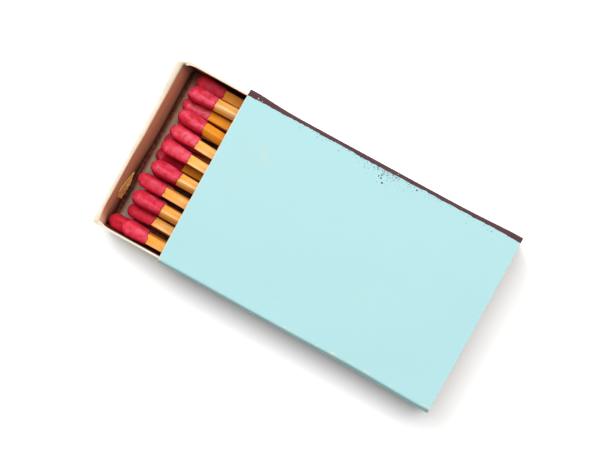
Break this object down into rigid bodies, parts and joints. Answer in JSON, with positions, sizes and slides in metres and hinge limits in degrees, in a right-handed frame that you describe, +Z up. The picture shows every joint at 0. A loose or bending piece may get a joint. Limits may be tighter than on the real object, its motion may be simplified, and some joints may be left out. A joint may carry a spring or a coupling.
{
  "type": "matchbox",
  "caption": "Card matchbox lying open: a printed sleeve with a striker on both long sides, a folded tray that slides through it, and loose wooden matches.",
  "frame": {"origin": "middle of the sleeve's flat base", "axes": "+X along the box, away from the end where the tray is drawn out; +Y across it, to the side whose striker laps over the top; +Z up from the base"},
  "size_m": [0.0726, 0.0366, 0.0151],
  "materials": {
    "printed_card": "matte pale blue print on cream card",
    "striker_coat": "rough dark brown striking coat",
    "plain_card": "plain uncoated cream card",
    "splint_wood": "plain split wood, not polished",
    "head_compound": "matte crimson striking compound with small pits"
  },
  "bodies": {
    "sleeve": {"sleeve": "printed_card", "far_striker": "striker_coat", "near_striker": "striker_coat"},
    "tray": {"tray": "plain_card"},
    "match_01": {"splint_01": "splint_wood", "head_01": "head_compound"},
    "match_02": {"splint_02": "splint_wood", "head_02": "head_compound"},
    "match_03": {"splint_03": "splint_wood", "head_03": "head_compound"},
    "match_04": {"splint_04": "splint_wood", "head_04": "head_compound"},
    "match_05": {"splint_05": "splint_wood", "head_05": "head_compound"},
    "match_06": {"splint_06": "splint_wood", "head_06": "head_compound"},
    "match_07": {"splint_07": "splint_wood", "head_07": "head_compound"},
    "match_08": {"splint_08": "splint_wood", "head_08": "head_compound"},
    "match_09": {"splint_09": "splint_wood", "head_09": "head_compound"},
    "match_10": {"splint_10": "splint_wood", "head_10": "head_compound"},
    "match_11": {"splint_11": "splint_wood", "head_11": "head_compound"},
    "match_12": {"splint_12": "splint_wood", "head_12": "head_compound"},
    "match_13": {"splint_13": "splint_wood", "head_13": "head_compound"},
    "match_14": {"splint_14": "splint_wood", "head_14": "head_compound"},
    "match_15": {"splint_15": "splint_wood", "head_15": "head_compound"},
    "match_16": {"splint_16": "splint_wood", "head_16": "head_compound"},
    "match_17": {"splint_17": "splint_wood", "head_17": "head_compound"},
    "match_18": {"splint_18": "splint_wood", "head_18": "head_compound"},
    "match_19": {"splint_19": "splint_wood", "head_19": "head_compound"},
    "match_20": {"splint_20": "splint_wood", "head_20": "head_compound"},
    "match_21": {"splint_21": "splint_wood", "head_21": "head_compound"},
    "match_22": {"splint_22": "splint_wood", "head_22": "head_compound"},
    "match_23": {"splint_23": "splint_wood", "head_23": "head_compound"},
    "match_24": {"splint_24": "splint_wood", "head_24": "head_compound"},
    "match_25": {"splint_25": "splint_wood", "head_25": "head_compound"},
    "match_26": {"splint_26": "splint_wood", "head_26": "head_compound"},
    "match_27": {"splint_27": "splint_wood", "head_27": "head_compound"},
    "match_28": {"splint_28": "splint_wood", "head_28": "head_compound"}
  },
  "joints": [
    {"name": "tray_slide", "type": "slide", "parent": "sleeve", "child": "tray", "axis": [-1, 0, 0], "range_m": [-0.0726, 0.043]},
    {"name": "match_01_slide", "type": "slide", "parent": "tray", "child": "match_01", "axis": [-0.9999, -0.0035, 0.0117], "range_m": [-0.0032, 0.0022]},
    {"name": "match_02_slide", "type": "slide", "parent": "tray", "child": "match_02", "axis": [-0.9999, 0.0035, 0.0117], "range_m": [-0.0028, 0.0026]},
    {"name": "match_03_slide", "type": "slide", "parent": "tray", "child": "match_03", "axis": [-0.9999, -0.0035, 0.0117], "range_m": [-0.0031, 0.0023]},
    {"name": "match_04_slide", "type": "slide", "parent": "tray", "child": "match_04", "axis": [-0.9999, -0.007, 0.0117], "range_m": [-0.0039, 0.0015]},
    {"name": "match_05_slide", "type": "slide", "parent": "tray", "child": "match_05", "axis": [-0.9999, 0.0035, 0.0117], "range_m": [-0.004, 0.0014]},
    {"name": "match_06_slide", "type": "slide", "parent": "tray", "child": "match_06", "axis": [-0.9999, 0.0017, 0.0117], "range_m": [-0.003, 0.0024]},
    {"name": "match_07_slide", "type": "slide", "parent": "tray", "child": "match_07", "axis": [-0.9999, 0.0035, 0.0117], "range_m": [-0.0027, 0.0027]},
    {"name": "match_08_slide", "type": "slide", "parent": "tray", "child": "match_08", "axis": [-0.9999, 0.0017, 0.0117], "range_m": [-0.0031, 0.0023]},
    {"name": "match_09_slide", "type": "slide", "parent": "tray", "child": "match_09", "axis": [-0.9999, 0.0035, 0.0117], "range_m": [-0.0028, 0.0026]},
    {"name": "match_10_slide", "type": "slide", "parent": "tray", "child": "match_10", "axis": [-0.9999, -0.0017, 0.0117], "range_m": [-0.0032, 0.0022]},
    {"name": "match_11_slide", "type": "slide", "parent": "tray", "child": "match_11", "axis": [-0.9994, 0, 0.0343], "range_m": [-0.0033, 0.0021]},
    {"name": "match_12_slide", "type": "slide", "parent": "tray", "child": "match_12", "axis": [-0.9993, 0.0174, 0.033], "range_m": [-0.0036, 0.0018]},
    {"name": "match_13_slide", "type": "slide", "parent": "tray", "child": "match_13", "axis": [-0.9994, -0.0052, 0.034], "range_m": [-0.0029, 0.0025]},
    {"name": "match_14_slide", "type": "slide", "parent": "tray", "child": "match_14", "axis": [-0.9994, -0.0105, 0.0341], "range_m": [-0.0015, 0.0039]},
    {"name": "match_15_slide", "type": "slide", "parent": "tray", "child": "match_15", "axis": [-0.9993, 0.0157, 0.0345], "range_m": [-0.0021, 0.0033]},
    {"name": "match_16_slide", "type": "slide", "parent": "tray", "child": "match_16", "axis": [-0.9992, 0.0209, 0.0343], "range_m": [-0.0029, 0.0025]},
    {"name": "match_17_slide", "type": "slide", "parent": "tray", "child": "match_17", "axis": [-0.9992, 0.0227, 0.0341], "range_m": [-0.0027, 0.0027]},
    {"name": "match_18_slide", "type": "slide", "parent": "tray", "child": "match_18", "axis": [-0.999, 0.0314, 0.0328], "range_m": [-0.0031, 0.0023]},
    {"name": "match_19_slide", "type": "slide", "parent": "tray", "child": "match_19", "axis": [-0.9993, 0.0122, 0.0347], "range_m": [-0.0032, 0.0022]},
    {"name": "match_20_slide", "type": "slide", "parent": "tray", "child": "match_20", "axis": [-0.9987, -0.0139, 0.0494], "range_m": [-0.0031, 0.0023]},
    {"name": "match_21_slide", "type": "slide", "parent": "tray", "child": "match_21", "axis": [-0.9963, 0.0697, 0.0494], "range_m": [-0.0028, 0.0027]},
    {"name": "match_22_slide", "type": "slide", "parent": "tray", "child": "match_22", "axis": [-0.9969, 0.0575, 0.0531], "range_m": [-0.0027, 0.0027]},
    {"name": "match_23_slide", "type": "slide", "parent": "tray", "child": "match_23", "axis": [-0.9976, 0.0453, 0.0529], "range_m": [-0.0028, 0.0026]},
    {"name": "match_24_slide", "type": "slide", "parent": "tray", "child": "match_24", "axis": [-0.9987, 0.0157, 0.0495], "range_m": [-0.0026, 0.0028]},
    {"name": "match_25_slide", "type": "slide", "parent": "tray", "child": "match_25", "axis": [-0.9981, 0.0314, 0.0524], "range_m": [-0.0037, 0.0017]},
    {"name": "match_26_slide", "type": "slide", "parent": "tray", "child": "match_26", "axis": [-0.9987, 0.0122, 0.0494], "range_m": [-0.003, 0.0024]},
    {"name": "match_27_slide", "type": "slide", "parent": "tray", "child": "match_27", "axis": [-0.9986, 0.0087, 0.0521], "range_m": [-0.0048, 0.0006]},
    {"name": "match_28_slide", "type": "slide", "parent": "tray", "child": "match_28", "axis": [-0.9976, 0.0122, 0.0677], "range_m": [-0.0013, 0.0041]}
  ]
}
